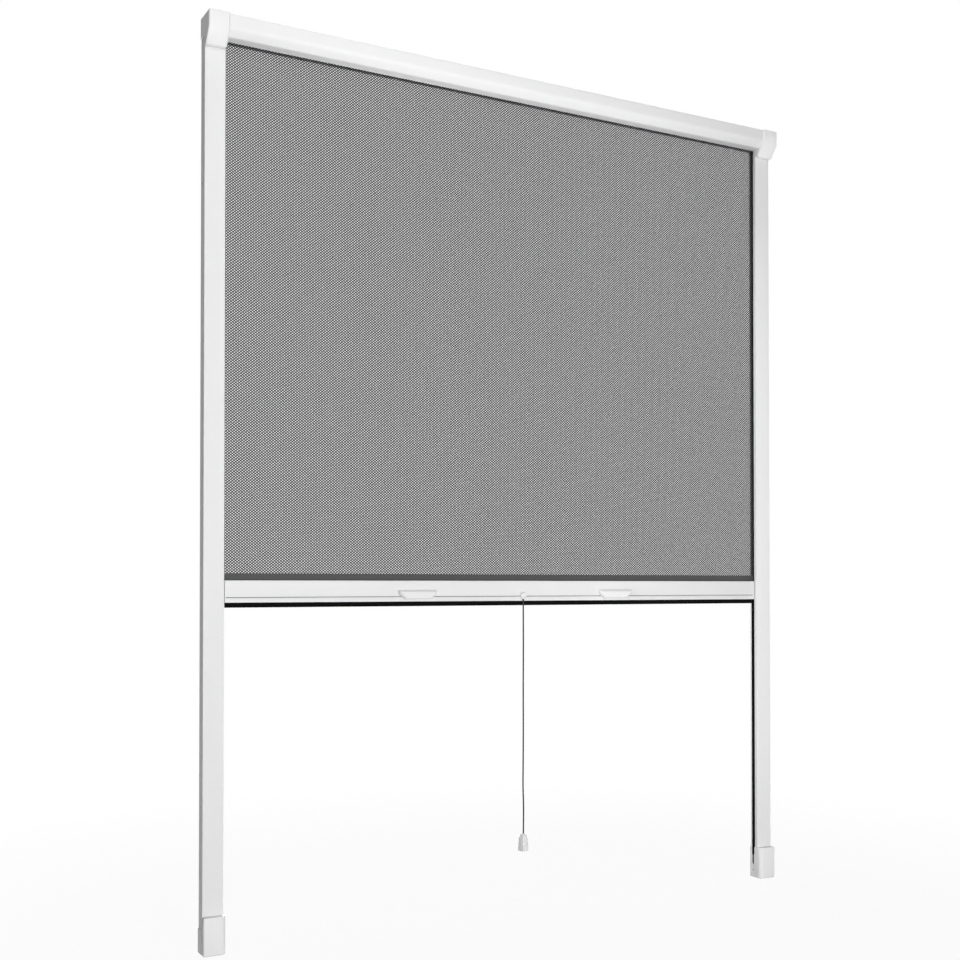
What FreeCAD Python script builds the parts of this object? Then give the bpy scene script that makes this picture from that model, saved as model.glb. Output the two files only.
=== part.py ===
import FreeCAD, Part
import math
import os
import Sketcher

# Window roller insect screen: a net on a spring roller in a cassette, drawn down between two
# guide rails by a bar with two grips and a pull cord. Millimetres, X to the right seen from
# the room, Y away from the room, Z up. The origin is the middle of the base: the feet stand
# at z = 0, the rear faces lie at half the depth, and X = 0 is halfway between the rails.

SIZES = {
    # The whole screen
    "overall_width": 1250.0,
    "overall_height": 1600.0,
    "overall_depth": 48.0,
    # Cassette
    "cassette_height": 36.8,
    "cassette_wall": 1.4,
    "cassette_top_radius": 3.0,
    "cassette_nose": 11.8,
    "cassette_nose_radius": 13.0,
    "cassette_lip_radius": 3.0,
    "cassette_edge_radius": 0.6,
    "net_exit_front": 5.0,
    "net_exit_rear": 6.0,
    # End caps
    "cap_proud": 0.4,
    "cap_front_proud": 1.8,
    "cap_side_wall": 2.5,
    "cap_face_height": 29.5,
    "cap_skirt_height": 54.1,
    "cap_skirt_proud": 8.0,
    "cap_nose_radius": 5.0,
    "cap_edge_radius": 3.0,
    "cap_bevel": 3.0,
    "cap_skirt_gap": 0.2,
    "spigot_length": 14.0,
    "spigot_wall": 1.2,
    "spigot_clearance": 0.15,
    "bearing_boss_radius": 8.0,
    "bearing_boss_length": 13.0,
    "peg_length": 20.0,
    "peg_clearance": 0.2,
    # Guide rails
    "rail_width": 36.5,
    "rail_depth": 21.2,
    "rail_wall": 1.3,
    "rail_edge_radius": 0.8,
    "rail_inset": 1.2,
    "mouth_width": 9.4,
    "groove_depth": 1.4,
    "groove_width": 6.6,
    "groove_mouth": 4.6,
    "groove_lip": 1.1,
    "groove_edge": 1.0,
    "fixing_hole_radius": 2.25,
    "fixing_hole_margin": 250.0,
    # Brush strips in the rails
    "brush_backing": 1.0,
    "brush_fit": 0.15,
    "brush_pile_width": 4.0,
    "brush_net_gap": 3.8,
    # Feet
    "foot_height": 65.0,
    "foot_proud": 12.0,
    "foot_floor": 3.0,
    "foot_inner_wall": 2.0,
    "foot_clearance": 0.2,
    "foot_corner_radius": 9.0,
    "foot_bottom_radius": 3.0,
    "foot_funnel_height": 15.0,
    "foot_slot_width": 6.0,
    "foot_slot_bottom": 30.0,
    "foot_catch_slope": 6.0,
    "foot_drain_radius": 2.0,
    "foot_drain_height": 15.0,
    "foot_side_height": 44.0,
    "foot_slit_mouth": 9.0,
    "foot_slit_width": 2.5,
    "foot_slit_shoulder": 8.0,
    "foot_slit_height": 44.0,
    "foot_front_wall": 2.2,
    # Net and roller
    "net_thickness": 0.5,
    "net_engagement": 18.0,
    "net_row_pitch": 11.0,
    "net_row_gap": 3.0,
    "net_border": 6.0,
    "running_gap": 0.3,
    "wound_radius": 13.7,
    "roller_radius": 11.0,
    "roller_wall": 1.0,
    "roller_top_gap": 19.0,
    "roll_fit": 0.1,
    "roller_end_gap": 1.5,
    "plug_flange": 1.5,
    "plug_length": 22.0,
    "plug_fit": 0.1,
    "pin_radius": 4.0,
    "pin_length": 11.5,
    "bearing_clearance": 0.1,
    "shaft_fit": 0.03,
    "spring_length": 420.0,
    "spring_wire": 1.4,
    "spring_clearance": 0.4,
    "shaft_end": 12.0,
    # Bar
    "bar_bottom": 595.5,
    "bar_height": 38.5,
    "bar_depth": 14.0,
    "bar_setback": 5.2,
    "bar_wall": 1.2,
    "bar_edge_radius": 1.5,
    "bar_end_gap": 2.8,
    "bar_groove_height": 9.5,
    "bar_groove_width": 1.7,
    "bar_groove_depth": 2.0,
    "bar_web_height": 12.0,
    "bead_pocket_width": 6.4,
    "bead_pocket_height": 4.0,
    "bead_mouth": 3.0,
    "bead_clearance": 0.2,
    "hem_height": 12.5,
    "hem_thickness": 1.6,
    "bar_brush_length": 9.0,
    "bar_brush_width": 4.0,
    # End shoes of the bar
    "shoe_plate": 1.8,
    "tongue_height": 15.0,
    "tongue_thickness": 3.0,
    "tongue_reach": 10.0,
    "slider_width": 9.0,
    "slider_length": 12.0,
    # Grips
    "grip_offset": 220.0,
    "grip_width": 75.0,
    "grip_lip_width": 50.0,
    "grip_height": 17.0,
    "grip_shoulder": 6.5,
    "grip_depth": 12.0,
    "grip_rise": 3.5,
    "grip_wall": 2.0,
    "grip_shoulder_radius": 4.5,
    "grip_corner_radius": 7.0,
    "grip_crown": 3.0,
    # Pull cord
    "cord_offset": 7.0,
    "cord_diameter": 3.0,
    "cord_stand_off": 3.2,
    "cord_length": 451.0,
    "button_rise": 3.4,
    "button_radius": 6.2,
    "button_depth": 7.4,
    "button_crown": 2.2,
    "button_tab_height": 1.2,
    "button_tab_width": 4.6,
    "bell_height": 33.0,
    "bell_top_width": 4.2,
    "bell_neck_height": 2.6,
    "bell_neck_width": 9.0,
    "bell_shoulder_height": 9.5,
    "bell_shoulder_width": 12.7,
    "bell_width": 15.0,
}

doc = FreeCAD.newDocument("RollerInsectScreen")
sheet = doc.addObject("Spreadsheet::Sheet", "Sizes")


class Size:
    """A length that carries its number and the expression it was worked out with."""

    def __init__(self, number, text):
        self.number = float(number)
        self.text = text

    def _join(self, other, sign, number, turned=False):
        mine = "(" + self.text + ")"
        theirs = "(" + other.text + ")" if isinstance(other, Size) else repr(float(other))
        return Size(number, theirs + sign + mine if turned else mine + sign + theirs)

    def __add__(self, other):
        return self._join(other, " + ", self.number + float(other))

    def __radd__(self, other):
        return self._join(other, " + ", float(other) + self.number, turned=True)

    def __sub__(self, other):
        return self._join(other, " - ", self.number - float(other))

    def __rsub__(self, other):
        return self._join(other, " - ", float(other) - self.number, turned=True)

    def __mul__(self, other):
        return self._join(other, " * ", self.number * float(other))

    def __rmul__(self, other):
        return self._join(other, " * ", float(other) * self.number, turned=True)

    def __truediv__(self, other):
        return self._join(other, " / ", self.number / float(other))

    def __neg__(self):
        return self * -1.0

    def __float__(self):
        return self.number


class Sheet:
    """The spreadsheet's cells by name."""

    def __init__(self, sizes):
        for row, (name, value) in enumerate(sizes.items(), start=1):
            sheet.set("A%d" % row, name)
            sheet.set("B%d" % row, str(value))
            sheet.setAlias("B%d" % row, name)
            setattr(self, name, Size(value, "Sizes." + name))
        doc.recompute()


s = Sheet(SIZES)
parts = []


def bind(thing, name, length):
    """Ties a property to the spreadsheet, or sets it where the length is a plain number."""
    if isinstance(length, Size):
        thing.setExpression(name, length.text)
    else:
        thing.setExpression(name, repr(float(length)))


# Sketches and features

def new_body(label):
    body = doc.addObject("PartDesign::Body", label)
    body.Label = label
    parts.append(body)
    return body


def new_sketch(body, plane, start):
    """A sketch on one of the body's own planes, moved along the plane's normal by start."""
    sketch = body.newObject("Sketcher::SketchObject", body.Label + "_sketch")
    origin_plane = [f for f in body.Origin.OriginFeatures if f.Role == plane + "_Plane"][0]
    sketch.AttachmentSupport = [(origin_plane, "")]
    sketch.MapMode = "FlatFace"
    bind(sketch, ".AttachmentOffset.Base.z", start)
    return sketch


def pin_point(sketch, geometry, point, x, y):
    """Fixes a sketch point by its distances from the origin."""
    index = sketch.addConstraint(
        [
            Sketcher.Constraint("DistanceX", -1, 1, geometry, point, float(x)),
            Sketcher.Constraint("DistanceY", -1, 1, geometry, point, float(y)),
        ]
    )[0]
    bind(sketch, "Constraints[%d]" % index, x)
    bind(sketch, "Constraints[%d]" % (index + 1), y)


def add_outline(sketch, corners):
    """A closed outline through the corners (x, y) or, with a rounded corner, (x, y, radius)."""
    count = len(corners)
    points = [FreeCAD.Vector(float(c[0]), float(c[1]), 0) for c in corners]
    trims = []
    for i in range(count):
        before = (points[i - 1] - points[i]).normalize()
        after = (points[(i + 1) % count] - points[i]).normalize()
        radius = float(corners[i][2]) if len(corners[i]) == 3 else 0.0
        trim = radius / math.tan(before.getAngle(after) / 2)
        trims.append((points[i] + before * trim, points[i] + after * trim, radius, before + after))
    lines = [
        sketch.addGeometry(Part.LineSegment(trims[i][1], trims[(i + 1) % count][0]))
        for i in range(count)
    ]
    for i in range(count):
        line_in = lines[i - 1]
        line_out = lines[i]
        start, end, radius, inward = trims[i]
        if radius == 0:
            sketch.addConstraint(Sketcher.Constraint("Coincident", line_in, 2, line_out, 1))
            pin_point(sketch, line_out, 1, corners[i][0], corners[i][1])
            continue
        reach = math.hypot(radius, (start - points[i]).Length)
        centre = points[i] + FreeCAD.Vector(inward).normalize() * reach
        # an arc runs anticlockwise, so on a clockwise corner its first end is the later one
        clockwise = (start - centre).cross(end - centre).z < 0
        ends = (end, start) if clockwise else (start, end)
        angles = [math.atan2(p.y - centre.y, p.x - centre.x) for p in ends]
        circle = Part.Circle(centre, FreeCAD.Vector(0, 0, 1), radius)
        arc = sketch.addGeometry(Part.ArcOfCircle(circle, angles[0], angles[1]))
        first, last = (2, 1) if clockwise else (1, 2)
        corner = sketch.addGeometry(Part.Point(points[i]), True)
        sketch.addConstraint(
            [
                Sketcher.Constraint("Tangent", line_in, 2, arc, first),
                Sketcher.Constraint("Tangent", arc, last, line_out, 1),
                Sketcher.Constraint("PointOnObject", corner, 1, line_in),
                Sketcher.Constraint("PointOnObject", corner, 1, line_out),
            ]
        )
        pin_point(sketch, corner, 1, corners[i][0], corners[i][1])
        index = sketch.addConstraint(Sketcher.Constraint("Radius", arc, radius))
        bind(sketch, "Constraints[%d]" % index, corners[i][2])


def add_circle(sketch, x, y, radius):
    circle = Part.Circle(FreeCAD.Vector(float(x), float(y), 0), FreeCAD.Vector(0, 0, 1), float(radius))
    geometry = sketch.addGeometry(circle)
    pin_point(sketch, geometry, 3, x, y)
    index = sketch.addConstraint(Sketcher.Constraint("Radius", geometry, float(radius)))
    bind(sketch, "Constraints[%d]" % index, radius)


def draw(sketch, loops):
    """Each loop is a list of corners, or a circle as a tuple (x, y, radius)."""
    for loop in loops:
        if isinstance(loop, tuple):
            add_circle(sketch, *loop)
        else:
            add_outline(sketch, loop)


def pad(body, plane, start, length, *loops):
    """Adds material from start along the plane's normal, and checks that some was added."""
    before = body.Shape.Volume if body.Tip else 0.0
    sketch = new_sketch(body, plane, start)
    draw(sketch, loops)
    feature = body.newObject("PartDesign::Pad", body.Label + "_pad")
    feature.Profile = sketch
    bind(feature, "Length", length)
    sketch.Visibility = False
    doc.recompute()
    if not body.Shape.Volume > before + 1e-6:
        raise RuntimeError(body.Label + ": a pad added nothing")
    return feature


def pocket(body, plane, start, length, *loops):
    """Cuts away from start along the plane's normal, and checks that something was cut."""
    before = body.Shape.Volume
    sketch = new_sketch(body, plane, start)
    draw(sketch, loops)
    feature = body.newObject("PartDesign::Pocket", body.Label + "_pocket")
    feature.Profile = sketch
    bind(feature, "Length", length)
    feature.Reversed = True
    sketch.Visibility = False
    doc.recompute()
    if not body.Shape.Volume < before - 1e-6:
        raise RuntimeError(body.Label + ": a pocket cut nothing")
    return feature


def treat_edges(body, kind, size_name, size, wanted):
    """Cuts or rounds the edges that wanted(edge) picks on the body's last feature."""
    base = body.Tip
    names = ["Edge%d" % (i + 1) for i, edge in enumerate(base.Shape.Edges) if wanted(edge)]
    if not names:
        raise RuntimeError(body.Label + ": no such edge")
    feature = body.newObject("PartDesign::" + kind, body.Label + "_" + kind.lower())
    feature.Base = (base, names)
    bind(feature, size_name, size)
    doc.recompute()
    if not body.Shape.Volume > 0 or not body.Shape.isValid():
        raise RuntimeError(body.Label + ": the edges could not be treated")
    return feature


def round_edges(body, radius, wanted):
    return treat_edges(body, "Fillet", "Radius", radius, wanted)


def bevel_edges(body, size, wanted):
    return treat_edges(body, "Chamfer", "Size", size, wanted)


def box(x0, x1, y0, y1):
    """The four corners of a rectangle."""
    return [(x0, y0), (x1, y0), (x1, y1), (x0, y1)]


def near(number, length, slack=0.01):
    return abs(number - float(length)) < slack


def polygon(x, y, radius, count):
    """The corners of a regular polygon."""
    angles = [math.tau * i / count for i in range(count)]
    return [(x + radius * math.cos(a), y + radius * math.sin(a)) for a in angles]


def frustum(body, x, y, turn, low, high, low_side, high_side):
    """A square block about a vertical axis, with one side length below and another above."""
    feature = body.newObject("PartDesign::AdditiveWedge", body.Label + "_frustum")
    upright = FreeCAD.Rotation(FreeCAD.Vector(1, 0, 0), 90)
    feature.Placement = FreeCAD.Placement(
        FreeCAD.Vector(float(x), float(y), float(low)),
        FreeCAD.Rotation(FreeCAD.Vector(0, 0, 1), turn) * upright,
    )
    bind(feature, "Ymin", low - low)
    bind(feature, "Ymax", high - low)
    for axis in "XZ":
        bind(feature, axis + "min", low_side / -2)
        bind(feature, axis + "max", low_side / 2)
        bind(feature, axis + "2min", high_side / -2)
        bind(feature, axis + "2max", high_side / 2)
    doc.recompute()
    return feature


# Places that several pieces share

REAR = s.overall_depth / 2
CAP_FRONT = REAR - s.overall_depth
CASSETTE_FRONT = CAP_FRONT + s.cap_front_proud
CASSETTE_TOP = s.overall_height - s.cap_proud
CASSETTE_BOTTOM = CASSETTE_TOP - s.cassette_height
SIDE = s.overall_width / 2
RAIL_FRONT = REAR - s.rail_depth
RAIL_OUTER = SIDE - s.rail_inset
RAIL_INNER = RAIL_OUTER - s.rail_width
FLANGE = s.rail_wall + s.groove_depth + s.groove_lip
NET_Y = REAR - FLANGE - s.mouth_width / 2
NET_EDGE = RAIL_INNER + s.net_engagement
ROLLER_Y = NET_Y - s.net_thickness / 2 - s.running_gap - s.wound_radius
ROLLER_Z = CASSETTE_TOP - s.roller_top_gap
ROLLER_END = NET_EDGE + s.roller_end_gap
CAP_INSIDE = SIDE - s.cap_side_wall
BAR_TOP = s.bar_bottom + s.bar_height
BAR_FRONT = RAIL_FRONT + s.bar_setback
BAR_REAR = BAR_FRONT + s.bar_depth
BAR_END = RAIL_INNER - s.bar_end_gap - s.shoe_plate
CORD_Y = BAR_FRONT - s.cord_stand_off
# the weave is shown by rows of gaps, no finer than this many
MOST_NET_ROWS = 120


def across(side, start, end):
    """Where a pad along X starts, and its length, on the left (side -1) or the right (side 1)."""
    return (start if side > 0 else -end), end - start


# Cassette

def cassette_section(shrink, top_radius):
    """The outline of the cassette in Y and Z, with its nose cut back at 45 degrees, less shrink."""
    tuck = shrink * (math.sqrt(2) - 1)
    return [
        (
            CASSETTE_FRONT + s.cassette_nose + tuck,
            CASSETTE_BOTTOM + shrink,
            s.cassette_lip_radius,
        ),
        (
            CASSETTE_FRONT + shrink,
            CASSETTE_BOTTOM + s.cassette_nose + tuck,
            s.cassette_nose_radius - shrink,
        ),
        (CASSETTE_FRONT + shrink, CASSETTE_TOP - shrink, top_radius),
        (REAR - shrink, CASSETTE_TOP - shrink, s.cassette_edge_radius),
        (REAR - shrink, CASSETTE_BOTTOM + shrink, s.cassette_edge_radius),
    ]


def make_cassette():
    body = new_body("cassette_profile")
    outside = cassette_section(0.0, s.cassette_top_radius)
    inside = cassette_section(s.cassette_wall, s.cassette_top_radius - s.cassette_wall)
    pad(body, "YZ", -RAIL_INNER, RAIL_INNER * 2, outside, inside)
    net_exit = box(
        NET_Y - s.net_exit_front,
        NET_Y + s.net_exit_rear,
        CASSETTE_BOTTOM - s.cassette_wall,
        CASSETTE_BOTTOM + s.cassette_wall * 2,
    )
    pocket(body, "YZ", -RAIL_INNER, RAIL_INNER * 2, net_exit)


# End caps, each moulded in one piece with its spigot, bearing boss and rail peg

def cap_section():
    return [
        (CAP_FRONT, s.overall_height),
        (REAR, s.overall_height),
        (REAR, CASSETTE_BOTTOM),
        (RAIL_FRONT - s.cap_skirt_gap, CASSETTE_BOTTOM),
        (RAIL_FRONT - s.cap_skirt_gap, s.overall_height - s.cap_skirt_height),
        (
            RAIL_FRONT - s.cap_skirt_proud,
            s.overall_height - s.cap_skirt_height,
            s.cap_nose_radius,
        ),
        (CAP_FRONT, s.overall_height - s.cap_face_height),
    ]


def make_end_cap(side, label, bore_radius):
    body = new_body(label)
    start, length = across(side, RAIL_INNER, SIDE)
    pad(body, "YZ", start, length, cap_section())
    skirt_rear = RAIL_FRONT - s.cap_skirt_gap
    round_edges(
        body,
        s.cap_edge_radius,
        lambda e: near(e.BoundBox.XMax, side * SIDE)
        and near(e.BoundBox.XMin, side * SIDE)
        and (near(e.BoundBox.ZMin, s.overall_height) or e.BoundBox.YMin < float(skirt_rear) - 1),
    )
    bevel_edges(
        body,
        s.cap_bevel,
        lambda e: near(e.BoundBox.XMax, side * RAIL_INNER)
        and near(e.BoundBox.XMin, side * RAIL_INNER)
        and e.BoundBox.YMin < float(skirt_rear) - 1
        and e.BoundBox.ZMin < float(s.overall_height) - 1,
    )
    # the hollow that takes the end of the roller and the edge of the net
    start, length = across(side, RAIL_INNER, CAP_INSIDE)
    fit = s.cassette_wall + s.spigot_clearance
    inside = cassette_section(fit + s.spigot_wall, s.cassette_edge_radius)
    pocket(body, "YZ", start, length, inside)
    # the spigot that the cassette slides over
    start, length = across(side, RAIL_INNER - s.spigot_length, RAIL_INNER + s.cap_side_wall)
    outside = cassette_section(fit, s.cassette_top_radius - fit)
    pad(body, "YZ", start, length, outside, inside)
    start, length = across(side, RAIL_INNER - s.spigot_length, RAIL_INNER)
    gap = box(
        NET_Y - s.net_exit_front,
        NET_Y + s.net_exit_rear,
        CASSETTE_BOTTOM,
        CASSETTE_BOTTOM + s.cassette_wall * 2 + s.spigot_wall * 2,
    )
    pocket(body, "YZ", start, length, gap)
    # the way down into the rail for the edge of the net
    start, length = across(side, RAIL_INNER, ROLLER_END)
    net_slot = box(
        NET_Y - s.mouth_width / 2,
        NET_Y + s.mouth_width / 2,
        CASSETTE_BOTTOM - s.cassette_wall,
        CASSETTE_BOTTOM + s.cassette_wall * 2 + s.spigot_wall * 2,
    )
    pocket(body, "YZ", start, length, net_slot)
    # the boss that carries the roller's pin
    start, length = across(side, CAP_INSIDE - s.bearing_boss_length, CAP_INSIDE + s.cap_side_wall / 2)
    pad(body, "YZ", start, length, (ROLLER_Y, ROLLER_Z, s.bearing_boss_radius))
    start, length = across(side, CAP_INSIDE - s.bearing_boss_length, CAP_INSIDE)
    pocket(body, "YZ", start, length, (ROLLER_Y, ROLLER_Z, bore_radius))
    # the peg that holds the top of the rail
    peg = rail_chamber(side, s.peg_clearance)
    pad(body, "XY", CASSETTE_BOTTOM - s.peg_length, s.peg_length, peg)


# Guide rails

def rail_point(side, across_rail, deep, *radius):
    """A point of the rail's section: outwards from its inner edge, and forwards from its rear."""
    return (side * (RAIL_INNER + across_rail), REAR - deep) + radius


def flange_lips(side, turned):
    """The brush groove's corners on one flange; turned gives them on the front flange."""
    lip = FLANGE
    deep = s.rail_wall
    under = FLANGE - s.groove_lip
    span = FLANGE * 2 + s.mouth_width
    wide_end = s.groove_edge + s.groove_width
    narrow = (s.groove_width - s.groove_mouth) / 2
    land = wide_end + s.groove_edge
    points = [
        (land, deep),
        (land, lip),
        (wide_end - narrow, lip),
        (wide_end - narrow, under),
        (wide_end, under),
        (wide_end, deep),
        (s.groove_edge, deep),
        (s.groove_edge, under),
        (s.groove_edge + narrow, under),
        (s.groove_edge + narrow, lip),
    ]
    return [rail_point(side, a, (span - d) if turned else d) for a, d in points]


def rail_section(side):
    inside = s.rail_width - s.rail_wall
    span = FLANGE * 2 + s.mouth_width
    radius = s.rail_edge_radius
    outline = [
        rail_point(side, 0.0, 0.0, radius),
        rail_point(side, s.rail_width, 0.0, radius),
        rail_point(side, s.rail_width, s.rail_depth, radius),
        rail_point(side, 0.0, s.rail_depth, radius),
        rail_point(side, 0.0, span - FLANGE),
    ]
    outline += flange_lips(side, True)[::-1]
    outline += [
        rail_point(side, inside, span - s.rail_wall),
        rail_point(side, inside, s.rail_wall),
    ]
    outline += flange_lips(side, False)
    outline.append(rail_point(side, 0.0, FLANGE))
    return outline


def rail_chamber(side, clearance):
    """The closed chamber in front of the rail's channel, taken in by a clearance."""
    near_end = s.rail_wall + clearance
    far_end = s.rail_width - s.rail_wall - clearance
    front = FLANGE * 2 + s.mouth_width + clearance
    rear = s.rail_depth - s.rail_wall - clearance
    return [
        rail_point(side, near_end, front),
        rail_point(side, far_end, front),
        rail_point(side, far_end, rear),
        rail_point(side, near_end, rear),
    ]


def make_rail(side, label):
    body = new_body(label)
    chamber = rail_chamber(side, 0.0)
    pad(body, "XY", s.foot_floor, CASSETTE_BOTTOM - s.foot_floor, rail_section(side), chamber)
    start, length = across(side, RAIL_OUTER - s.rail_wall * 2, RAIL_OUTER + s.rail_wall)
    holes = [
        (NET_Y, s.fixing_hole_margin, s.fixing_hole_radius),
        (NET_Y, CASSETTE_BOTTOM - s.fixing_hole_margin, s.fixing_hole_radius),
    ]
    pocket(body, "YZ", start, length, *holes)


def make_rail_brush(side, turned, label):
    """A strip of brush pile in the groove of one flange."""
    body = new_body(label)
    span = FLANGE * 2 + s.mouth_width
    base = s.rail_wall + (s.groove_depth - s.brush_backing) / 2
    top = base + s.brush_backing
    tip = FLANGE + (s.mouth_width - s.brush_net_gap) / 2
    wide_start = s.groove_edge + s.brush_fit
    wide_end = s.groove_edge + s.groove_width - s.brush_fit
    pile_start = s.groove_edge + (s.groove_width - s.brush_pile_width) / 2
    pile_end = pile_start + s.brush_pile_width
    points = [
        (wide_start, base),
        (wide_end, base),
        (wide_end, top),
        (pile_end, top),
        (pile_end, tip),
        (pile_start, tip),
        (pile_start, top),
        (wide_start, top),
    ]
    outline = [rail_point(side, a, (span - d) if turned else d) for a, d in points]
    pad(body, "XY", s.foot_floor, CASSETTE_BOTTOM - s.foot_floor, outline)


# Feet with the catch for the bar

def make_foot(side, label):
    body = new_body(label)
    inner = RAIL_INNER - s.foot_inner_wall - s.foot_clearance
    front = RAIL_FRONT - s.foot_proud
    outline = [
        (side * inner, front, s.foot_corner_radius),
        (side * SIDE, front, s.foot_bottom_radius),
        (side * SIDE, REAR),
        (side * inner, REAR),
    ]
    pad(body, "XY", 0.0, s.foot_height, outline)
    round_edges(
        body,
        s.foot_bottom_radius,
        lambda e: near(e.BoundBox.ZMax, 0) and not near(e.BoundBox.YMin, REAR),
    )
    # the socket for the rail, open at the rear as the rail is flush there
    socket = [
        (side * (RAIL_INNER - s.foot_clearance), RAIL_FRONT - s.foot_clearance),
        (side * (RAIL_OUTER + s.foot_clearance), RAIL_FRONT - s.foot_clearance),
        (side * (RAIL_OUTER + s.foot_clearance), REAR + s.foot_floor),
        (side * (RAIL_INNER - s.foot_clearance), REAR + s.foot_floor),
    ]
    pocket(body, "XY", s.foot_floor, s.foot_height, socket)
    # the hollow behind the front cover
    hollow = [
        (
            side * (inner + s.foot_inner_wall),
            front + s.foot_front_wall,
            s.foot_corner_radius - s.foot_inner_wall,
        ),
        (side * (SIDE - s.foot_front_wall), front + s.foot_front_wall),
        (side * (SIDE - s.foot_front_wall), RAIL_FRONT - s.foot_clearance - s.foot_front_wall / 2),
        (side * (inner + s.foot_inner_wall), RAIL_FRONT - s.foot_clearance - s.foot_front_wall / 2),
    ]
    pocket(body, "XY", s.foot_floor, s.foot_height - s.foot_floor * 2, hollow)
    # the slot that the bar's tongue drops into, funnel shaped, with a sloped catch at its end
    start, length = across(side, inner - s.foot_inner_wall, RAIL_INNER - s.foot_clearance / 2)
    half = s.foot_slot_width / 2
    mouth = s.mouth_width / 2
    shoulder = s.foot_height - s.foot_funnel_height
    slot = [
        (NET_Y - mouth, s.foot_height + s.foot_floor),
        (NET_Y - mouth, shoulder),
        (NET_Y - half, shoulder - (mouth - half)),
        (NET_Y - half, s.foot_slot_bottom - s.foot_catch_slope),
        (NET_Y + half, s.foot_slot_bottom),
        (NET_Y + half, shoulder - (mouth - half)),
        (NET_Y + mouth, shoulder),
        (NET_Y + mouth, s.foot_height + s.foot_floor),
    ]
    drain = (NET_Y, s.foot_drain_height, s.foot_drain_radius)
    pocket(body, "YZ", start, length, slot, drain)
    # the side wall ends lower than the front cover, so that the rail's side shows above it
    back = RAIL_FRONT - s.foot_clearance
    start, length = across(side, RAIL_OUTER, SIDE + s.rail_inset)
    above_side = box(back, REAR + s.foot_floor, s.foot_side_height, s.foot_height + s.foot_floor)
    pocket(body, "YZ", start, length, above_side)
    # the slit that lets the front cover spring over the rail, wide at its top
    start, length = across(side, SIDE - s.foot_front_wall, SIDE + s.rail_inset)
    slit = [
        (back, s.foot_height + s.foot_floor),
        (back - s.foot_slit_mouth, s.foot_height + s.foot_floor),
        (back - s.foot_slit_mouth, s.foot_height - s.foot_slit_shoulder),
        (back - s.foot_slit_width, s.foot_height - s.foot_slit_shoulder * 2),
        (back - s.foot_slit_width, s.foot_height - s.foot_slit_height),
        (back, s.foot_height - s.foot_slit_height),
    ]
    pocket(body, "YZ", start, length, slit)


# Net, roller and spring

def make_net():
    body = new_body("net")
    bottom = BAR_TOP + s.hem_height
    span = ROLLER_Z - bottom - s.net_border * 2
    rows = min(MOST_NET_ROWS, int(float(span) / float(s.net_row_pitch)))
    outline = box(-NET_EDGE, NET_EDGE, bottom, ROLLER_Z)
    front = NET_Y + s.net_thickness / 2
    pad(body, "XZ", -front, s.net_thickness, outline)
    first = box(
        -NET_EDGE + s.net_border,
        NET_EDGE - s.net_border,
        bottom + s.net_border,
        bottom + s.net_border + s.net_row_gap,
    )
    gap = pocket(body, "XZ", -front - s.net_thickness, s.net_thickness * 3, first)
    pattern = body.newObject("PartDesign::LinearPattern", "net_rows")
    pattern.Originals = [gap]
    pattern.Direction = (gap.Profile[0], ["V_Axis"])
    pattern.Occurrences = rows
    bind(pattern, "Length", span - s.net_row_gap)
    body.Tip = pattern
    doc.recompute()


def make_ring(label, start, length, outer, inner):
    """A tube about the roller's axis."""
    body = new_body(label)
    pad(body, "YZ", start, length, (ROLLER_Y, ROLLER_Z, outer), (ROLLER_Y, ROLLER_Z, inner))
    return body


PLUG_SIDES = 8


def plug_barrel():
    """The outline of a plug's barrel, a polygon whose corners touch the tube."""
    radius = s.roller_radius - s.roller_wall - s.plug_fit
    return polygon(ROLLER_Y, ROLLER_Z, radius, PLUG_SIDES)


def make_plug(side, label, pin):
    """The plug in one end of the roller: a flange against the tube, and a pin or a bore."""
    body = new_body(label)
    start, length = across(side, ROLLER_END - s.plug_length, ROLLER_END)
    pad(body, "YZ", start, length, plug_barrel())
    start, length = across(side, ROLLER_END, ROLLER_END + s.plug_flange)
    pad(body, "YZ", start, length, (ROLLER_Y, ROLLER_Z, s.roller_radius))
    if pin:
        start, length = across(side, ROLLER_END, ROLLER_END + s.plug_flange + s.pin_length)
        pad(body, "YZ", start, length, (ROLLER_Y, ROLLER_Z, s.pin_radius))
    else:
        start, length = across(side, ROLLER_END - s.plug_length, ROLLER_END + s.plug_flange)
        bore = s.pin_radius + s.bearing_clearance
        pocket(body, "YZ", start, length, (ROLLER_Y, ROLLER_Z, bore))
    return body


def make_roller():
    make_ring("roller_tube", -ROLLER_END, ROLLER_END * 2, s.roller_radius, s.roller_radius - s.roller_wall)
    make_ring("net_roll", -NET_EDGE, NET_EDGE * 2, s.wound_radius, s.roller_radius + s.roll_fit)
    make_plug(-1, "spring_end_plug", False)
    make_plug(1, "idler_plug", True)
    # the rod that the left cap holds still, with the spring round it
    shaft = new_body("spring_shaft")
    shaft_length = s.bearing_boss_length + s.spring_length + s.plug_length + s.shaft_end
    pad(shaft, "YZ", -CAP_INSIDE, shaft_length, (ROLLER_Y, ROLLER_Z, s.pin_radius))
    spring_start = -(ROLLER_END - s.plug_length) + s.running_gap
    inner = s.pin_radius + s.spring_clearance
    make_ring("torsion_spring", spring_start, s.spring_length, inner + s.spring_wire, inner)
    # the carrier that joins the spring's far end to the tube
    carrier = new_body("spring_carrier")
    start = spring_start + s.spring_length + s.running_gap
    bore = s.pin_radius + s.bearing_clearance
    pad(carrier, "YZ", start, s.plug_length, plug_barrel())
    pocket(carrier, "YZ", start, s.plug_length, (ROLLER_Y, ROLLER_Z, bore))


# Bar, hem and brush

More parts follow.
